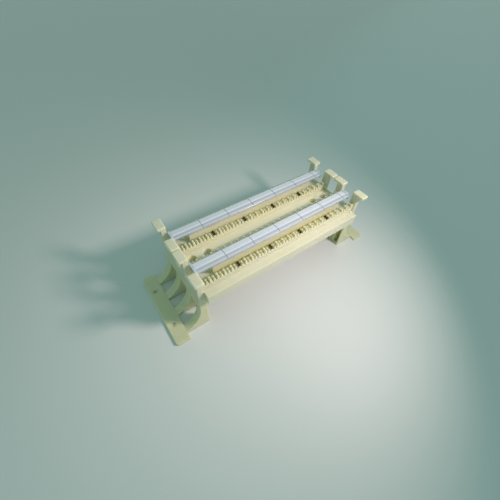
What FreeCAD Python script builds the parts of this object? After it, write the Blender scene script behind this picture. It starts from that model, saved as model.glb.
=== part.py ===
import FreeCAD, Part
import math
import os

# A 100-pair wiring block on stand-off legs. Lengths are in millimetres.
# X runs along the index strips, Y across them, Z up from the mounting surface.

# Index strips: each row takes 25 pairs, two wire slots to a pair
pairs_per_row = 25
pair_pitch = 7.62
row_pitch = 22.86
strip_width = 5.7
strip_core_width = 2.0
slot_floor_height = 5.0
divider_height = 4.6
divider_width = 2.5
divider_tip_width = 1.5
splitter_height = 3.8
splitter_width = 2.1
tooth_shoulder = 2.6
tooth_face_taper = 0.45
clip_groove_width = 0.9
clip_groove_depth = 1.2

# Deck with its side skirts, end walls and stiffening ribs
leg_height = 47.0
deck_height = 12.5
deck_wall = 2.4
skirt_wall = 2.2
skirt_end_gap = 1.3
end_wall = 3.0
under_rib_count = 3
under_rib_wall = 2.0
under_rib_recess = 2.5

# Wire posts, one at each end of every row, with an overhanging cap
column_width = 9.0
post_gap = 2.75
post_depth = 5.0
post_setback = 0.6
cap_thickness = 2.9
cap_top_height = 35.55
cap_inward = 0.5
cap_outward = 3.4
cap_side_gap = 0.83
cap_corner_bevel = 0.9
cap_edge_bevel = 0.5

# Cable feed holes in the centre trough, each with a collar under the deck
feed_hole_radius = 4.5
feed_hole_inset = 7.25
feed_hole_spacing = 16.4
feed_collar_wall = 1.3

# Label rail along the middle of each ridge
rail_width = 7.2
rail_land_width = 4.8
rail_wall = 1.5
rail_end_inset = 15.25
rail_edge_height = 15.2
roof_slope = 0.15

# Clear label holder that straddles the rail
holder_width = 13.4
holder_end_gap = 0.3
holder_skin = 0.8
holder_slot = 0.5
holder_slot_margin = 0.8
holder_edge_round = 0.3
holder_leg_wall = 1.0
holder_leg_length = 4.4
holder_seat_gap = 0.2
holder_side_gap = 0.15

# Creased card label inside the holder
card_thickness = 0.3
card_side_gap = 0.1

# Stand-off legs
leg_reach = 18.0
flange_depth = 14.9
flange_thickness = 3.0
flange_corner_radius = 3.0
rib_inner_depth = 7.5
rib_wall = 1.8
rib_floor = 2.2
sill_depth = 2.4
arch_top = 31.0
leg_seat = 2.4
upright_wall = 2.4
screw_hole_radius = 2.4
screw_rim_radius = 4.2
screw_rim_depth = 0.5
screw_inset = 6.4

# Snap tabs that hold each leg in the block's end wall
tab_width = 6.0
tab_wall = 1.8
tab_headroom = 2.1
tab_barb = 0.9
tab_barb_height = 2.4
tab_gap = 0.3
pocket_gap = 0.3

# How far a cut runs past the face it opens
cut_past = 1.0

# Sizes that follow from the ones above
slot_pitch = pair_pitch / 2
strip_half = pairs_per_row * pair_pitch / 2
row_ys = [row_pitch * (k - 1.5) for k in range(4)]
ridge_ys = [-row_pitch, row_pitch]
block_half_width = 2 * row_pitch
deck_top = leg_height + deck_height
deck_under = deck_top - deck_wall
slot_floor = deck_top + slot_floor_height
post_inner_x = strip_half + post_gap
post_outer_x = post_inner_x + post_depth
column_half = column_width / 2
tower_half_width = row_ys[3] + column_half
rail_half_length = strip_half - rail_end_inset
rail_edge = deck_top + rail_edge_height
rail_land = rail_edge + roof_slope * (rail_width - rail_land_width) / 2
rail_apex = rail_edge + roof_slope * rail_width / 2
holder_half_length = post_inner_x - holder_end_gap
holder_under = 2 * holder_skin + holder_slot
holder_apex = rail_apex + holder_seat_gap + holder_under
toe_x = post_outer_x + leg_reach
foot_half = toe_x + flange_depth
rib_inner_x = post_outer_x - rib_inner_depth
screw_x = foot_half - screw_inset
tab_top = deck_under - tab_headroom


def box(x0, x1, y0, y1, z0, z1):
    """A block between three pairs of planes, given in either order."""
    low = FreeCAD.Vector(min(x0, x1), min(y0, y1), min(z0, z1))
    return Part.makeBox(abs(x1 - x0), abs(y1 - y0), abs(z1 - z0), low)


def prism_y(points, y0, y1):
    """An outline in X and Z, swept along Y."""
    corners = [FreeCAD.Vector(x, y0, z) for x, z in points]
    face = Part.Face(Part.makePolygon(corners + corners[:1]))
    return face.extrude(FreeCAD.Vector(0, y1 - y0, 0))


def prism_x(points, x0, x1):
    """An outline in Y and Z, swept along X."""
    corners = [FreeCAD.Vector(x0, y, z) for y, z in points]
    face = Part.Face(Part.makePolygon(corners + corners[:1]))
    return face.extrude(FreeCAD.Vector(x1 - x0, 0, 0))


def both_ends(shape):
    """The shape with its mirror image at the other end of the block."""
    return [shape, shape.mirror(FreeCAD.Vector(0, 0, 0), FreeCAD.Vector(1, 0, 0))]


def even_section(y, right):
    """A closed outline in Y and Z about the line y, from the points of its right half."""
    return [(y + dy, z) for dy, z in right] + [(y - dy, z) for dy, z in reversed(right)]


def divider_tooth(x):
    """The tall flat-topped tooth between two pairs."""
    half = divider_width / 2
    tip = divider_tip_width / 2
    shoulder = slot_floor + tooth_shoulder
    top = slot_floor + divider_height
    left = [(x - half, slot_floor), (x - half, shoulder), (x - tip, top)]
    return left + [(2 * x - px, z) for px, z in reversed(left)]


def splitter_tooth(x):
    """The lower pointed tooth that parts the two wires of a pair."""
    half = splitter_width / 2
    shoulder = slot_floor + tooth_shoulder
    left = [(x - half, slot_floor), (x - half, shoulder)]
    right = [(2 * x - px, z) for px, z in reversed(left)]
    return left + [(x, slot_floor + splitter_height)] + right


def comb_outline():
    """The side view of one index strip: its web and all its teeth."""
    end = post_inner_x
    first = strip_half - divider_width / 2
    top = slot_floor + divider_height
    points = [(-end, deck_under), (-end, top), (-first, top), (-first, slot_floor)]
    for k in range(1, 2 * pairs_per_row):
        x = slot_pitch * k - strip_half
        points += divider_tooth(x) if k % 2 == 0 else splitter_tooth(x)
    return points + [(first, slot_floor), (first, top), (end, top), (end, deck_under)]


def strip_section(y):
    """The end view of one index strip, with its faces drawn in above the slots."""
    half = strip_width / 2
    top = slot_floor + divider_height
    return even_section(y, [(half - tooth_face_taper, top), (half, slot_floor), (half, deck_under)])


def clip_groove(y):
    """The groove along a strip's middle that takes the clips of a connecting block."""
    half = clip_groove_width / 2
    low = slot_floor - clip_groove_depth
    top = slot_floor + divider_height + cut_past
    return box(-strip_half, strip_half, y - half, y + half, low, top)


def index_strip(y):
    """One toothed row, grooved along its middle."""
    half = strip_width / 2
    comb = prism_y(comb_outline(), y - half, y + half)
    blank = prism_x(strip_section(y), -post_inner_x, post_inner_x)
    return comb.common(blank).cut(clip_groove(y))


def wire_post(y):
    """The post and cap at the right end of one row."""
    ridge_y = math.copysign(row_pitch, y)
    away = math.copysign(1, y - ridge_y)
    label_side = y - away * (column_half - post_setback)
    trough_side = y + away * column_half
    cap_side = ridge_y + away * (row_pitch - cap_side_gap)
    top = leg_height + cap_top_height
    stem = box(post_inner_x, post_outer_x, label_side, trough_side, deck_under, top - cap_thickness)
    cap = box(
        post_inner_x - cap_inward, post_outer_x + cap_outward,
        label_side, cap_side, top - cap_thickness, top,
    )
    uprights = [e for e in cap.Edges if abs(e.tangentAt(e.FirstParameter).z) > 0.9]
    cap = cap.makeChamfer(cap_corner_bevel, uprights)
    rim = [e for e in cap.Edges if e.BoundBox.ZMin > top - 0.01]
    cap = cap.makeChamfer(cap_edge_bevel, rim)
    return stem.fuse(cap)


def deck():
    """The deck plate with its skirts and end walls, hollow underneath."""
    skirt_x = post_inner_x - skirt_end_gap
    wide = box(-skirt_x, skirt_x, -block_half_width, block_half_width, leg_height, deck_top)
    long = box(
        -post_outer_x, post_outer_x, -tower_half_width, tower_half_width, leg_height, deck_top
    )
    inner_x = skirt_x - skirt_wall
    inner_y = block_half_width - skirt_wall
    wide_hollow = box(-inner_x, inner_x, -inner_y, inner_y, leg_height - cut_past, deck_under)
    end_x = post_outer_x - end_wall
    end_y = tower_half_width - skirt_wall
    long_hollow = box(-end_x, end_x, -end_y, end_y, leg_height - cut_past, deck_under)
    return wide.fuse(long).cut(wide_hollow).cut(long_hollow)


def under_ribs():
    """Cross ribs that stiffen the deck from below."""
    inner_y = block_half_width - skirt_wall / 2
    half = under_rib_wall / 2
    low = leg_height + under_rib_recess
    spacing = 2 * strip_half / (under_rib_count + 1)
    ribs = []
    for k in range(under_rib_count):
        x = (k + 1) * spacing - strip_half
        ribs.append(box(x - half, x + half, -inner_y, inner_y, low, deck_top))
    return ribs


def label_rail(y):
    """The rail that carries one label holder on its two sloping shoulders."""
    half = rail_width / 2
    right = [(rail_land_width / 2, rail_land), (half, rail_edge), (half, deck_under)]
    return prism_x(even_section(y, right), -rail_half_length, rail_half_length)


def rail_hollow(y):
    """The core inside one rail, open at the underside of the deck."""
    half = rail_width / 2 - rail_wall
    end = rail_half_length - rail_wall
    return box(-end, end, y - half, y + half, deck_under - cut_past, rail_land - rail_wall)


def strip_hollow(y):
    """The core under one index strip, which keeps its wall even."""
    half = strip_core_width / 2
    low = deck_under - cut_past
    return box(-strip_half, strip_half, y - half, y + half, low, slot_floor - deck_wall)


def feed_cylinders(radius, low, top):
    """An upright cylinder on the line of each cable feed hole."""
    cylinders = []
    for k in (0, 1):
        x = strip_half - feed_hole_inset - k * feed_hole_spacing
        cylinders += both_ends(Part.makeCylinder(radius, top - low, FreeCAD.Vector(x, 0, low)))
    return cylinders


def feed_collars():
    """The collars that lead the cables up to the feed holes."""
    low = leg_height + under_rib_recess
    return feed_cylinders(feed_hole_radius + feed_collar_wall, low, deck_top)


def feed_holes():
    """The round cable holes through the collars and the floor of the centre trough."""
    return feed_cylinders(feed_hole_radius, leg_height, deck_top + cut_past)


def tab_pockets():
    """Pockets in the end walls that catch the barbs of the snap tabs."""
    wall_x = post_outer_x - end_wall
    depth = tab_barb - tab_gap + pocket_gap
    top = tab_top + pocket_gap
    low = top - tab_barb_height - 2 * pocket_gap
    half = tab_width / 2 + pocket_gap
    pockets = []
    for y in ridge_ys:
        pockets += both_ends(box(wall_x - cut_past, wall_x + depth, y - half, y + half, low, top))
    return pockets


def wiring_block():
    """The one-piece moulding: deck, strips, rails and posts."""
    added = [index_strip(y) for y in row_ys]
    added += [label_rail(y) for y in ridge_ys]
    for y in row_ys:
        added += both_ends(wire_post(y))
    added += under_ribs() + feed_collars()
    removed = [rail_hollow(y) for y in ridge_ys]
    removed += [strip_hollow(y) for y in row_ys]
    removed += feed_holes() + tab_pockets()
    return deck().fuse(added).cut(removed).removeSplitter()


def holder_roof(offset, half):
    """The holder's ridged line, a set distance below its outer face."""
    return [(-half, holder_apex - offset - roof_slope * half), (0, holder_apex - offset),
            (half, holder_apex - offset - roof_slope * half)]


def label_holder(y):
    """A clear strip with a thin slot for the card and two legs astride the rail."""
    half = holder_width / 2
    inner = rail_width / 2 + holder_side_gap
    outer = inner + holder_leg_wall
    foot_z = holder_apex - holder_under - roof_slope * inner - holder_leg_length
    outline = [
        (0, holder_apex),
        (half - holder_edge_round, holder_apex - roof_slope * half),
        (half, holder_apex - roof_slope * half - holder_edge_round),
        (half, holder_apex - holder_under - roof_slope * half),
        (outer, holder_apex - holder_under - roof_slope * outer),
        (outer, foot_z),
        (inner, foot_z),
        (inner, holder_apex - holder_under - roof_slope * inner),
    ]
    inside = [(0, holder_apex - holder_under)]
    outline = outline + inside + [(-py, z) for py, z in reversed(outline[1:])]
    body = prism_x([(y + py, z) for py, z in outline], -holder_half_length, holder_half_length)
    slot_half = half - holder_slot_margin
    top = holder_roof(holder_skin, slot_half)
    bottom = holder_roof(holder_skin + holder_slot, slot_half)
    slot = [(y + py, z) for py, z in top + bottom[::-1]]
    end = holder_half_length + cut_past
    return body.cut(prism_x(slot, -end, end))


def label_insert(y):
    """The creased card that slides into the holder's slot."""
    half = holder_width / 2 - holder_slot_margin - card_side_gap
    play = (holder_slot - card_thickness) / 2
    top = holder_roof(holder_skin + play, half)
    bottom = holder_roof(holder_skin + play + card_thickness, half)
    card = [(y + py, z) for py, z in top + bottom[::-1]]
    return prism_x(card, -strip_half, strip_half)


def rib_arc(radius_offset):
    """The rib's concave outer curve, or one parallel to it, from the foot to the upright."""
    rise = arch_top - flange_thickness
    radius = (leg_reach ** 2 + rise ** 2) / (2 * leg_reach)
    centre_x = post_outer_x + radius
    radius += radius_offset
    return centre_x, radius


def rib_profile(radius_offset, inner_x, floor_z, top_z, toe_z):
    """The side view of a rib, or of the hollow inside it."""
    centre_x, radius = rib_arc(radius_offset)
    foot_x = centre_x - math.sqrt(radius ** 2 - (arch_top - toe_z) ** 2)
    wall_x = centre_x - radius
    middle = math.pi + 0.5 * math.asin((arch_top - toe_z) / radius)
    via = FreeCAD.Vector(centre_x + radius * math.cos(middle), 0, arch_top + radius * math.sin(middle))
    foot = FreeCAD.Vector(foot_x, 0, toe_z)
    shoulder = FreeCAD.Vector(wall_x, 0, arch_top)
    arc = Part.Arc(foot, via, shoulder).toShape()
    corners = [shoulder, FreeCAD.Vector(wall_x, 0, top_z), FreeCAD.Vector(inner_x, 0, top_z)]
    corners += [FreeCAD.Vector(inner_x, 0, floor_z)]
    if floor_z < toe_z:
        corners += [FreeCAD.Vector(foot_x, 0, floor_z)]
    corners += [foot]
    edges = [Part.makeLine(a, b) for a, b in zip(corners, corners[1:])]
    return Part.Face(Part.Wire([arc] + edges))


def leg_rib(y):
    """One hollow rib, open towards the middle of the block."""
    solid = rib_profile(0, rib_inner_x, 0, leg_height, flange_thickness)
    hollow = rib_profile(rib_wall, rib_inner_x - cut_past, rib_floor, leg_height - leg_seat, rib_floor)
    rib = solid.extrude(FreeCAD.Vector(0, column_width, 0))
    core = hollow.extrude(FreeCAD.Vector(0, column_width - 2 * rib_wall, 0))
    rib.translate(FreeCAD.Vector(0, y - column_half, 0))
    core.translate(FreeCAD.Vector(0, y - column_half + rib_wall, 0))
    return rib.cut(core)


def flange():
    """The screw flange outside the ribs, with its rimmed holes."""
    plate = box(toe_x, foot_half, -block_half_width, block_half_width, 0, flange_thickness)
    corners = [
        e for e in plate.Edges
        if abs(e.tangentAt(e.FirstParameter).z) > 0.9 and e.BoundBox.XMin > foot_half - flange_corner_radius
    ]
    plate = plate.makeFillet(flange_corner_radius, corners)
    for y in ridge_ys:
        base = FreeCAD.Vector(screw_x, y, -cut_past)
        rim = FreeCAD.Vector(screw_x, y, flange_thickness - screw_rim_depth)
        plate = plate.cut(Part.makeCylinder(screw_hole_radius, flange_thickness + 2 * cut_past, base))
        plate = plate.cut(Part.makeCylinder(screw_rim_radius, screw_rim_depth + cut_past, rim))
    return plate


def snap_tab(y):
    """A springy tab with a barb that seats in the block's end wall."""
    outer = post_outer_x - end_wall - tab_gap
    inner = outer - tab_wall
    base = leg_height - leg_seat
    low = tab_top - tab_barb_height
    outline = [(inner, base), (outer, base), (outer, low), (outer + tab_barb, low)]
    outline += [(outer, tab_top), (inner, tab_top)]
    return prism_y(outline, y - tab_width / 2, y + tab_width / 2)


def cross_bar(x0, x1, z0, z1):
    """A bar of the leg that runs across all four ribs."""
    return box(x0, x1, -tower_half_width, tower_half_width, z0, z1)


def leg():
    """The stand-off leg for the right end."""
    upright = cross_bar(post_outer_x - upright_wall, post_outer_x, arch_top, leg_height)
    seat = cross_bar(rib_inner_x, post_outer_x, leg_height - leg_seat, leg_height)
    sill = cross_bar(rib_inner_x, rib_inner_x + sill_depth, 0, flange_thickness)
    pieces = [seat, sill, flange()]
    pieces += [leg_rib(y) for y in row_ys]
    pieces += [snap_tab(y) for y in ridge_ys]
    return upright.fuse(pieces).removeSplitter()


def nodes():
    """Every piece of the object, by name."""
    right, left = both_ends(leg())
    return {
        "wiring_block": wiring_block(),
        "leg_left": left,
        "leg_right": right,
        "label_holder_front": label_holder(ridge_ys[0]),
        "label_holder_rear": label_holder(ridge_ys[1]),
        "label_insert_front": label_insert(ridge_ys[0]),
        "label_insert_rear": label_insert(ridge_ys[1]),
    }


def main():
    os.makedirs("parts", exist_ok=True)
    for name, shape in nodes().items():
        shape.exportStep("parts/" + name + ".step")
        box_ = shape.BoundBox
        size = "%.1f x %.1f x %.1f" % (box_.XLength, box_.YLength, box_.ZLength)
        print(name, "solids", len(shape.Solids), "valid", shape.isValid(), size)


main()
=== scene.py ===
import math

import bpy
from mathutils import Matrix, Vector


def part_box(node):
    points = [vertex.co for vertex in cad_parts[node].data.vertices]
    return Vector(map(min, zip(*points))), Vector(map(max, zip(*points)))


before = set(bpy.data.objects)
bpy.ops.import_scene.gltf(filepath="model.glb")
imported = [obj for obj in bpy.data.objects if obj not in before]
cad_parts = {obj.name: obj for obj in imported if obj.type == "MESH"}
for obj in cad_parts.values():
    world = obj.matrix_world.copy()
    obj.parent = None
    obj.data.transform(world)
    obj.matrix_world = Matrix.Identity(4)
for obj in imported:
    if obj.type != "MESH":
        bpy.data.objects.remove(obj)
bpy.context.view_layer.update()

MM = 0.001

# The index strips, and the ink on the tips of their teeth. X runs along the strips, and the
# marked pairs are counted from the block's middle.
STRIP_COUNT = 4
PAIR_PITCH = 7.62 * MM
MARKED_PAIRS = (-7.5, -2.5, 2.5, 7.5)
TOOTH_BELOW_TOP = 13.45 * MM
TOOTH_SLACK = 0.3 * MM
INK_HALF_WIDTH = 1.5 * MM
INK_DEPTH = 2.3 * MM
INK_WAVER = 0.2 * MM
INK_REACH = 3.0 * MM
INK_GAP = 0.35 * MM

# The print and the painted light and shade on the label cards, with Y taken rearward from the
# middle of each card
FIELD_LINES = 6
FIELD_PITCH = 4 * PAIR_PITCH
FIRST_FIELD_LINE = -8.5 * PAIR_PITCH
FIELD_LINE_WIDTH = 0.6 * MM
CREASE_FRONT = -1.7 * MM
CREASE_REAR = -0.7 * MM
# A strip of painted shade before the crease
CREASE_SHADE_PLACE = -2.8 * MM
CREASE_SHADE_HALF = 1.0 * MM
CREASE_SHADE_SOFTNESS = 0.5 * MM
CREASE_SHADE_SHARE = 0.32
RULE_WIDTH = 0.35 * MM
RULE_PITCH = 3.0 * MM
RULE_SHARE = 0.14
FIBRE_SHARE = 0.03
LINE_SOFTNESS = 0.05 * MM

# Tones of the mouldings, painted amber shade in hollows and in sheltered places and paler edges:
# how far each reaches, between which degrees of openness it sets in, and how much of it shows
HOLLOW_SHADE_REACH = 7 * MM
HOLLOW_SHADE_RANGE = (0.1, 0.7)
HOLLOW_SHADE_SHARE = 0.45
HOLLOW_SHADE_SAMPLES = 6
SHELTER_SHADE_REACH = 30 * MM
SHELTER_SHADE_RANGE = (0.1, 0.5)
SHELTER_SHADE_SHARE = 0.65
SHELTER_SHADE_SAMPLES = 8
PALE_EDGE_REACH = 0.5 * MM
PALE_EDGE_RANGE = (0.35, 0.8)
PALE_EDGE_SHARE = 0.35
PALE_EDGE_SAMPLES = 6
PALE_EDGE_TONE = 1.1
MOTTLE_TONES = (0.965, 1.03)
DUST_SHARE = 0.10

# The light that goes into the mouldings
GLOW_SHARE = 0.8
GLOW_DEPTH = 5.0 * MM
GLOW_BY_COLOUR = (1.0, 0.85, 0.5)
PLASTIC_IOR = 1.5

# The holders: haze in their body, frost on their cut ends, which starts near the card's end,
# and how their gloss grows from face on to edge on
HAZE_SHARE = (0.03, 0.09)
FROST_SHARE = 0.5
FROST_STARTS = -0.3 * MM
FROST_FULL = 0.5 * MM
FACE_ON_GLOSS = 0.04
GLOSS_POWER = 5.0

# Noise patterns, by features to a metre, detail, roughness and stretch along the axes
FLOW_MOTTLE = {"scale": 22, "detail": 3.0, "rough": 0.55, "stretch": (0.45, 1.0, 1.0)}
DUST = {"scale": 700, "detail": 4.0, "rough": 0.7}
SHEEN = {"scale": 160, "detail": 3.0}
SPARK_GRAIN = {"scale": 2600}
WARP = {"scale": 55}
INK_EDGE = {"scale": 900, "detail": 1.0}
CARD_FIBRE = {"scale": 500, "detail": 4.0, "rough": 0.65, "stretch": (0.5, 1.0, 1.0)}
DRAWN_STREAK = {"scale": 400, "detail": 3.0, "rough": 0.6, "stretch": (0.03, 1.0, 1.0)}
DRAWN_WAVE = {"scale": 90, "stretch": (0.1, 1.0, 1.0)}
CLEAR_SHEEN = {"scale": 300}
FLOOR_CLOUD = {"scale": 6, "detail": 3.0, "rough": 0.6}
FLOOR_TOOTH = {"scale": 900, "detail": 3.0}

# How far the legs' noise is moved in metres, so that it differs from the block's
LEG_NOISE_SHIFT = 3.1

# The part of a noise's range over which its pattern shows
NOISE_RANGE = (0.3, 0.7)
MOTTLE_RANGE = (0.32, 0.68)
DUST_RANGE = (0.66, 0.74)
FIBRE_RANGE = (0.35, 0.65)

# Bumps, by strength and depth
GRAIN_BUMP = (0.10, 0.05 * MM)
WARP_BUMP = (0.10, 0.6 * MM)
CARD_BUMP = (0.05, 0.03 * MM)
CLEAR_BUMP = (0.02, 0.5 * MM)
FLOOR_BUMP = (0.08, 0.1 * MM)

# Roughness, as one value or as the range that a noise moves it through
PLASTIC_ROUGH = (0.36, 0.5)
CLEAR_ROUGH = (0.20, 0.26)
INK_ROUGH = 0.28
CARD_ROUGH = 0.6
FLOOR_ROUGH = 0.55

# Clean-up and edge rounding of the CAD meshes
WELD_REACH = 0.002 * MM
FLAT_ANGLE = math.radians(0.2)
SHARP_ANGLE = math.radians(32)
PLASTIC_EDGE = 0.22 * MM
CLEAR_EDGE = 0.12 * MM
CARD_EDGE = 0.04 * MM

# Camera: where it stands, and how it is turned about Z, tipped from straight down and rolled
CAMERA_PLACE = Vector((-143.2, -161.8, 279.7)) * MM
CAMERA_HEADING = math.radians(-37.72)
CAMERA_TILT = math.radians(38.87)
CAMERA_ROLL = math.radians(3.74)
CAMERA_LENS = 20.19
CAMERA_CLIP = 5 * MM

# The lamp and the room
LAMP_PLACE = Vector((132, -197, 270)) * MM
LAMP_AIM = Vector((-140, 85, 0)) * MM
LAMP_SIZE = 60 * MM
LAMP_POWER = 0.435
LAMP_SPREAD = math.radians(113)
LAMP_COLOUR = (1.0, 0.81, 0.80)
ROOM = (0.25, 0.40, 0.37)
SEEN_ROOM = (0.60, 0.68, 0.65)
SEEN_STRENGTH = 0.8

# The floor, whose tone darkens along one direction as painted shade
FLOOR_HALF = 3000 * MM
FLOOR_AWAY = (-0.42, 0.9)
FLOOR_NEAR_EDGE = -20 * MM
FLOOR_FAR_EDGE = 340 * MM
CLOUD_SHARE = 0.04

# Colours, as linear light
CREAM = (0.67, 0.67, 0.52)
# The legs' cream, yellower than the block's as painted shade
LEG_CREAM_SHADE_TINTED = (0.66, 0.66, 0.44)
# Amber of the painted shade in hollows, also the colour of the dust specks
CREAM_SHADE_AND_DUST = (0.78, 0.745, 0.44)
# Amber of the painted shade in sheltered places
CREAM_SHELTER_SHADE = (0.76, 0.745, 0.40)
INK = (0.012, 0.011, 0.010)
# The card's front slope is painted darker as shade, its rear slope paler as light
CARD_FRONT_SHADED = (0.60, 0.65, 0.69)
CARD_BACK_LIT = (0.82, 0.85, 0.88)
FIBRE_GREY = (0.40, 0.42, 0.42)
# Blue of the print and of the painted shade before the card's crease
PRINT_AND_SHADE_BLUE = (0.09, 0.12, 0.19)
CLEAR_TINT = (0.985, 0.99, 0.995)
HAZE = (0.66, 0.74, 0.86)
WHITE = (1.0, 1.0, 1.0)
FLOOR_PALE = (0.71, 0.745, 0.735)
# The floor's far tone, darker as painted shade
FLOOR_FAR_SHADED = (0.65, 0.68, 0.655)
FLOOR_SHADE = (0.55, 0.6, 0.57)


class Graph:
    """The node tree of a material or of the world, with short calls that add and join nodes."""

    def __init__(self, owner, output):
        owner.use_nodes = True
        self.owner = owner
        self.tree = owner.node_tree
        self.tree.nodes.clear()
        self.output = self.tree.nodes.new(output)

    def node(self, kind, settings=None, **inputs):
        """A node; an input is a value, or the socket of another node."""
        made = self.tree.nodes.new(kind)
        for key, value in (settings or {}).items():
            setattr(made, key, value)
        for key, value in inputs.items():
            self.feed(self.socket(made, key), value)
        return made

    @staticmethod
    def socket(made, key):
        """A node's input by its place, as i0 or i1, or by its name with _ for each space."""
        if key[0] == "i" and key[1:].isdigit():
            return made.inputs[int(key[1:])]
        return made.inputs[key.replace("_", " ")]

    def feed(self, socket, value):
        """Joins or sets a socket. A colour may leave out its alpha."""
        if isinstance(value, bpy.types.NodeSocket):
            self.tree.links.new(value, socket)
        elif socket.type == "RGBA":
            socket.default_value = (*value, 1.0)
        else:
            socket.default_value = value

    def math(self, operation, a, b=0.0):
        """A calculation with one or two numbers."""
        return self.node("ShaderNodeMath", {"operation": operation}, i0=a, i1=b).outputs[0]

    def either(self, masks):
        """The highest of some masks."""
        highest = masks[0]
        for mask in masks[1:]:
            highest = self.math("MAXIMUM", highest, mask)
        return highest

    def mix_shaders(self, share, a, b):
        """Two shaders mixed."""
        return self.node("ShaderNodeMixShader", i0=share, i1=a, i2=b).outputs[0]

    def shade(self, shader):
        """Ends the tree with a shader, and gives back what the tree belongs to."""
        self.tree.links.new(shader, self.output.inputs["Surface"])
        return self.owner


class Material(Graph):
    """A material's tree, with the place on the part and the patterns that are made from it."""

    def __init__(self, name, noise_shift=0.0):
        super().__init__(bpy.data.materials.new(name), "ShaderNodeOutputMaterial")
        self.place = self.node("ShaderNodeTexCoord").outputs["Object"]
        self.noise_place = self.place
        if noise_shift:
            moved = self.node("ShaderNodeVectorMath", i0=self.place, i1=(noise_shift,) * 3)
            self.noise_place = moved.outputs[0]

    def axes(self):
        """The place in the part's frame, as three numbers."""
        return self.node("ShaderNodeSeparateXYZ", Vector=self.place).outputs

    def noise(self, scale, detail=2.0, rough=0.5, stretch=None):
        """Noise of so many features to a metre, which can be stretched along an axis."""
        place = self.noise_place
        if stretch:
            place = self.node("ShaderNodeMapping", Vector=place, Scale=stretch).outputs[0]
        return self.node("ShaderNodeTexNoise", Vector=place, Scale=scale, Detail=detail,
                         Roughness=rough).outputs["Fac"]

    def ramp(self, value, low, high, to_low=0.0, to_high=1.0):
        """The value, taken from one range to another and held within it."""
        return self.node("ShaderNodeMapRange", {"interpolation_type": "SMOOTHSTEP"}, i0=value,
                         i1=low, i2=high, i3=to_low, i4=to_high).outputs[0]

    def noise_between(self, pattern, lowest, highest):
        """A noise pattern that moves a number between two values."""
        return self.ramp(self.noise(**pattern), *NOISE_RANGE, lowest, highest)

    def near(self, value, centre, half, soft=LINE_SOFTNESS):
        """1 where a value is within half of the centre, 0 outside."""
        away = self.math("ABSOLUTE", self.math("SUBTRACT", value, centre))
        return self.ramp(away, half - soft, half + soft, 1.0, 0.0)

    def openness(self, reach, samples, **settings):
        """1 on an open surface, and less the more of what lies within reach closes it in."""
        settings["samples"] = samples
        return self.node("ShaderNodeAmbientOcclusion", settings, Distance=reach).outputs["AO"]

    def mix(self, share, a, b):
        """Two colours mixed."""
        made = self.node("ShaderNodeMix", {"data_type": "RGBA"}, i0=share, i6=a, i7=b)
        return made.outputs[2]

    def bump(self, height, strength, depth, normal=None):
        """A normal bumped by a height, on top of another bump where there is one."""
        made = self.node("ShaderNodeBump", Height=height, Strength=strength, Distance=depth)
        if normal is not None:
            self.feed(made.inputs["Normal"], normal)
        return made.outputs[0]


def toned(colour, factor):
    """A colour made lighter or darker."""
    return [part * factor for part in colour]


def strip_lines():
    """The Y of each index strip, from the block's box."""
    low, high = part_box("wiring_block")
    pitch = (high.y - low.y) / STRIP_COUNT
    return [low.y + pitch * (k + 0.5) for k in range(STRIP_COUNT)]


def middle_y(name):
    """The Y of a node's middle."""
    low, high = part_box(name)
    return (low.y + high.y) / 2


def ink_mask(g):
    """1 on the inked tips: every fifth divider tooth of the strip before each label.

    The clip groove along the middle of a strip stays bare.
    """
    x, y, z = g.axes()
    before_front_label, _, before_rear_label, _ = strip_lines()
    inked_strips = (before_front_label, before_rear_label)
    on_mark = g.either([g.near(x, pair * PAIR_PITCH, INK_HALF_WIDTH) for pair in MARKED_PAIRS])
    on_strip = g.either([g.near(y, strip, INK_REACH) for strip in inked_strips])
    in_groove = g.either([g.near(y, strip, INK_GAP) for strip in inked_strips])
    on_tooth = g.math("MULTIPLY", on_mark, g.math("SUBTRACT", on_strip, in_groove))
    tooth_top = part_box("wiring_block")[1].z - TOOTH_BELOW_TOP
    waver = g.noise_between(INK_EDGE, -INK_WAVER, INK_WAVER)
    ink_end = g.math("ADD", tooth_top - INK_DEPTH, waver)
    above = g.math("GREATER_THAN", z, ink_end)
    below = g.math("LESS_THAN", z, tooth_top + TOOTH_SLACK)
    return g.math("MULTIPLY", on_tooth, g.math("MULTIPLY", above, below))


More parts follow.
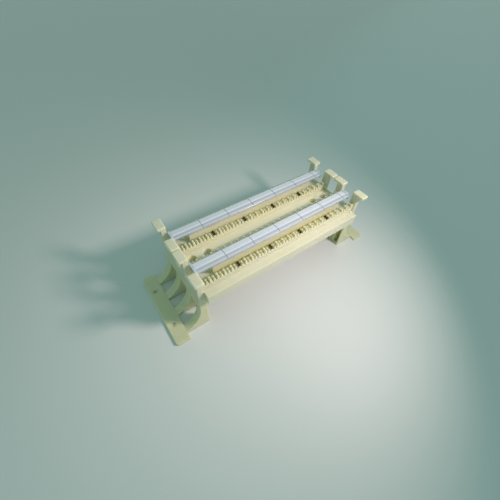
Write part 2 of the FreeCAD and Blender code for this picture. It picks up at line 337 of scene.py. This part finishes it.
def moulded_plastic(name, cream, noise_shift=0.0, inked=False):
    """Cream moulded plastic that light goes into, with a fine spark-eroded grain.

    It has a faint flow mottling, specks of dust and paler convex edges, and painted amber shade
    where it is closed in.
    """
    g = Material(name, noise_shift)
    darkest, palest = MOTTLE_TONES
    mottle = g.ramp(g.noise(**FLOW_MOTTLE), *MOTTLE_RANGE)
    colour = g.mix(mottle, toned(cream, darkest), toned(cream, palest))
    # Painted amber shade where the moulding is closed in within a few millimetres
    hollow_shade = g.openness(HOLLOW_SHADE_REACH, HOLLOW_SHADE_SAMPLES, only_local=True)
    hollow_shade = g.ramp(hollow_shade, *HOLLOW_SHADE_RANGE, HOLLOW_SHADE_SHARE, 0.0)
    colour = g.mix(hollow_shade, colour, CREAM_SHADE_AND_DUST)
    # Painted amber shade where the moulding is sheltered within a few centimetres
    shelter_shade = g.openness(SHELTER_SHADE_REACH, SHELTER_SHADE_SAMPLES, only_local=True)
    shelter_shade = g.ramp(shelter_shade, *SHELTER_SHADE_RANGE, SHELTER_SHADE_SHARE, 0.0)
    colour = g.mix(shelter_shade, colour, CREAM_SHELTER_SHADE)
    # Convex edges are drawn paler
    edge = g.openness(PALE_EDGE_REACH, PALE_EDGE_SAMPLES, inside=True)
    edge = g.ramp(edge, *PALE_EDGE_RANGE, PALE_EDGE_SHARE, 0.0)
    colour = g.mix(edge, colour, toned(cream, PALE_EDGE_TONE))
    dust = g.ramp(g.noise(**DUST), *DUST_RANGE, 0.0, DUST_SHARE)
    # Specks of dust, in the same amber as the painted shade of hollows
    colour = g.mix(dust, colour, CREAM_SHADE_AND_DUST)
    rough = g.noise_between(SHEEN, *PLASTIC_ROUGH)
    grain = g.bump(g.noise(**SPARK_GRAIN), *GRAIN_BUMP)
    warp = g.bump(g.noise(**WARP), *WARP_BUMP, grain)
    if inked:
        ink = ink_mask(g)
        colour = g.mix(ink, colour, INK)
        rough = g.mix(ink, rough, (INK_ROUGH,) * 3)
    skin = g.node("ShaderNodeBsdfPrincipled", Base_Color=colour, Roughness=rough, Normal=warp,
                  IOR=PLASTIC_IOR, Subsurface_Weight=GLOW_SHARE,
                  Subsurface_Radius=GLOW_BY_COLOUR, Subsurface_Scale=GLOW_DEPTH)
    return g.shade(skin.outputs[0])


def label_card():
    """Pale card; its front slope is painted darker as shade and its rear slope paler as light.

    It carries print, lines between its fields and faint fine rules, and a strip of painted shade
    lies before its crease.
    """
    g = Material("label_card")
    x, y, _ = g.axes()
    card_middle = g.math("MULTIPLY", g.math("SIGN", y), middle_y("label_holder_rear"))
    rearward = g.math("SUBTRACT", y, card_middle)
    fibre = g.noise(**CARD_FIBRE)
    # Painted light and shade: the front slope darker, the rear slope paler
    colour = g.mix(g.ramp(rearward, CREASE_FRONT, CREASE_REAR), CARD_FRONT_SHADED, CARD_BACK_LIT)
    colour = g.mix(g.ramp(fibre, *FIBRE_RANGE, 0.0, FIBRE_SHARE), colour, FIBRE_GREY)
    lines = g.either([g.near(x, FIRST_FIELD_LINE + k * FIELD_PITCH, FIELD_LINE_WIDTH / 2)
                      for k in range(FIELD_LINES)])
    # A strip of painted shade before the crease, drawn in the print's blue
    crease_shade = g.near(rearward, CREASE_SHADE_PLACE, CREASE_SHADE_HALF, CREASE_SHADE_SOFTNESS)
    rules = g.near(g.math("PINGPONG", rearward, RULE_PITCH / 2), 0.0, RULE_WIDTH / 2)
    print_and_crease_shade = g.either([lines, g.math("MULTIPLY", crease_shade, CREASE_SHADE_SHARE),
                        g.math("MULTIPLY", rules, RULE_SHARE)])
    colour = g.mix(print_and_crease_shade, colour, PRINT_AND_SHADE_BLUE)
    card = g.node("ShaderNodeBsdfPrincipled", Base_Color=colour, Roughness=CARD_ROUGH,
                  Normal=g.bump(fibre, *CARD_BUMP))
    return g.shade(card.outputs[0])


def clear_plastic():
    """Clear extruded plastic with a soft gloss.

    It has a faint blue haze in streaks, and is frosty where its ends were cut.
    """
    g = Material("clear_plastic")
    x, _, _ = g.axes()
    card_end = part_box("label_insert_rear")[1].x
    frost = g.ramp(g.math("ABSOLUTE", x), card_end + FROST_STARTS, card_end + FROST_FULL)
    frost = g.math("MULTIPLY", frost, FROST_SHARE)
    haze = g.math("ADD", g.noise_between(DRAWN_STREAK, *HAZE_SHARE), frost)
    wave = g.bump(g.noise(**DRAWN_WAVE), *CLEAR_BUMP)
    facing = g.node("ShaderNodeLayerWeight", Blend=0.5, Normal=wave).outputs["Facing"]
    edge_on = g.math("MULTIPLY", g.math("POWER", facing, GLOSS_POWER), 1 - FACE_ON_GLOSS)
    fresnel = g.math("ADD", edge_on, FACE_ON_GLOSS)
    clear = g.node("ShaderNodeBsdfTransparent", Color=CLEAR_TINT).outputs[0]
    milk = g.node("ShaderNodeBsdfDiffuse", Color=HAZE).outputs[0]
    rough = g.noise_between(CLEAR_SHEEN, *CLEAR_ROUGH)
    gloss = g.node("ShaderNodeBsdfGlossy", Color=WHITE, Roughness=rough, Normal=wave).outputs[0]
    return g.shade(g.mix_shaders(fresnel, g.mix_shaders(haze, clear, milk), gloss))


def floor_surface():
    """A pale grey-green sheet with a soft sheen, painted darker towards the rear left as shade.
    """
    g = Material("floor_surface")
    x, y, _ = g.axes()
    away_x, away_y = FLOOR_AWAY
    away = g.math("ADD", g.math("MULTIPLY", x, away_x), g.math("MULTIPLY", y, away_y))
    # Painted shade: the floor darkens towards the rear left
    colour = g.mix(g.ramp(away, FLOOR_NEAR_EDGE, FLOOR_FAR_EDGE), FLOOR_PALE, FLOOR_FAR_SHADED)
    colour = g.mix(g.noise_between(FLOOR_CLOUD, 0.0, CLOUD_SHARE), colour, FLOOR_SHADE)
    sheet = g.node("ShaderNodeBsdfPrincipled", Base_Color=colour, Roughness=FLOOR_ROUGH,
                   Normal=g.bump(g.noise(**FLOOR_TOOTH), *FLOOR_BUMP))
    return g.shade(sheet.outputs[0])


def finish_node(name, material, edge, segments=2):
    """Gives a CAD node its material and rounds its sharp edges.

    Its flat faces are joined first, because a bevel folds over on their thinnest triangles.
    """
    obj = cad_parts[name]
    obj.data.materials.clear()
    obj.data.materials.append(material)
    weld = obj.modifiers.new("weld", "WELD")
    weld.merge_threshold = WELD_REACH
    flat = obj.modifiers.new("flat_faces", "DECIMATE")
    flat.decimate_type = "DISSOLVE"
    flat.angle_limit = FLAT_ANGLE
    bevel = obj.modifiers.new("edges", "BEVEL")
    bevel.width = edge
    bevel.segments = segments
    bevel.limit_method = "ANGLE"
    bevel.angle_limit = SHARP_ANGLE
    bevel.use_clamp_overlap = False
    bevel.harden_normals = True


def add_object(name, data):
    """A new object in the scene."""
    obj = bpy.data.objects.new(name, data)
    bpy.context.scene.collection.objects.link(obj)
    return obj


def add_lamp():
    """The one lamp: a small round softbox close before the right half of the block."""
    data = bpy.data.lights.new("softbox", "AREA")
    data.shape = "DISK"
    data.size = LAMP_SIZE
    data.energy = LAMP_POWER
    data.color = LAMP_COLOUR
    data.spread = LAMP_SPREAD
    lamp = add_object("softbox", data)
    lamp.location = LAMP_PLACE
    lamp.rotation_euler = (LAMP_AIM - LAMP_PLACE).to_track_quat("-Z", "Y").to_euler()


def add_room():
    """The room: one tint lights the part, and the camera and gloss see a paler one."""
    world = bpy.data.worlds.new("room")
    bpy.context.scene.world = world
    g = Graph(world, "ShaderNodeOutputWorld")
    rays = g.node("ShaderNodeLightPath").outputs
    seen = g.either([rays["Is Camera Ray"], rays["Is Glossy Ray"], rays["Is Transmission Ray"]])
    light = g.node("ShaderNodeBackground", Color=ROOM).outputs[0]
    backdrop = g.node("ShaderNodeBackground", Color=SEEN_ROOM, Strength=SEEN_STRENGTH).outputs[0]
    g.shade(g.mix_shaders(seen, light, backdrop))


def add_floor():
    """The floor, a single wide sheet at the height of the feet."""
    mesh = bpy.data.meshes.new("floor")
    corners = [(-FLOOR_HALF, -FLOOR_HALF, 0), (FLOOR_HALF, -FLOOR_HALF, 0),
               (FLOOR_HALF, FLOOR_HALF, 0), (-FLOOR_HALF, FLOOR_HALF, 0)]
    mesh.from_pydata(corners, [], [(0, 1, 2, 3)])
    mesh.materials.append(floor_surface())
    floor = add_object("floor", mesh)


def add_camera():
    """The camera, where the photograph was taken from."""
    data = bpy.data.cameras.new("camera")
    data.lens = CAMERA_LENS
    data.clip_start = CAMERA_CLIP
    camera = add_object("camera", data)
    turn = Matrix.Rotation(CAMERA_HEADING, 4, "Z") @ Matrix.Rotation(CAMERA_TILT, 4, "X")
    roll = Matrix.Rotation(CAMERA_ROLL, 4, "Z")
    camera.matrix_world = Matrix.Translation(CAMERA_PLACE) @ turn @ roll
    bpy.context.scene.camera = camera


def main():
    block = moulded_plastic("block_plastic", CREAM, inked=True)
    # The legs get a yellower cream than the block, as painted shade
    legs = moulded_plastic("leg_plastic", LEG_CREAM_SHADE_TINTED, LEG_NOISE_SHIFT)
    clear = clear_plastic()
    card = label_card()
    finish_node("wiring_block", block, PLASTIC_EDGE)
    for end in ("left", "right"):
        finish_node("leg_" + end, legs, PLASTIC_EDGE)
    for side in ("front", "rear"):
        finish_node("label_holder_" + side, clear, CLEAR_EDGE, segments=3)
        finish_node("label_insert_" + side, card, CARD_EDGE, segments=1)
    add_floor()
    add_lamp()
    add_room()
    add_camera()
    bpy.context.scene.view_settings.view_transform = "Standard"


main()
